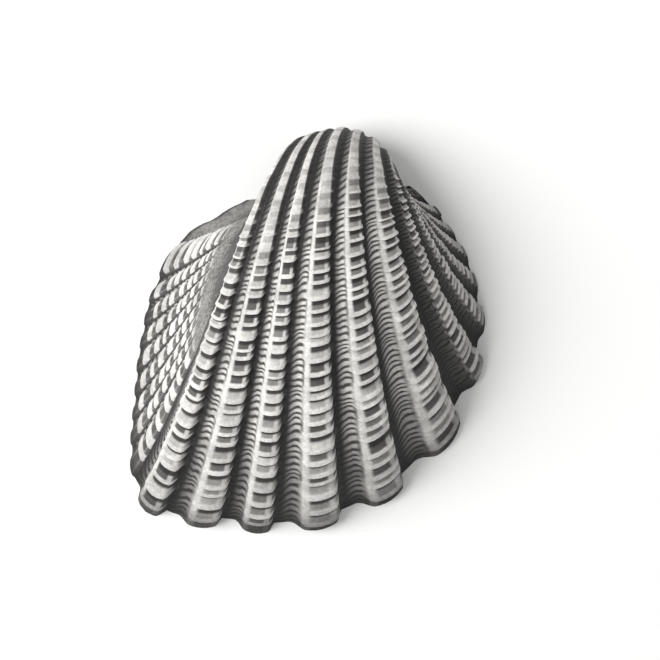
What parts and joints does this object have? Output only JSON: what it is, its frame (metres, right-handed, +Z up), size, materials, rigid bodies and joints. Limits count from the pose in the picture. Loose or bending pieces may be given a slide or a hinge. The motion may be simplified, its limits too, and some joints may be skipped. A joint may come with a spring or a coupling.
{
  "type": "cockle shell",
  "caption": "Single ribbed cockle valve with scaly radial ribs, a curled beak and a toothed hinge plate, resting on its rim.",
  "frame": {"origin": "on the table, under the middle of the outline", "axes": "+Z up through the dome, +Y towards the beak, +X towards the front end of the hinge"},
  "size_m": [0.04, 0.0458, 0.017],
  "materials": {
    "shell": "matte"
  },
  "bodies": {
    "root": {"valve": "shell"}
  },
  "joints": []
}
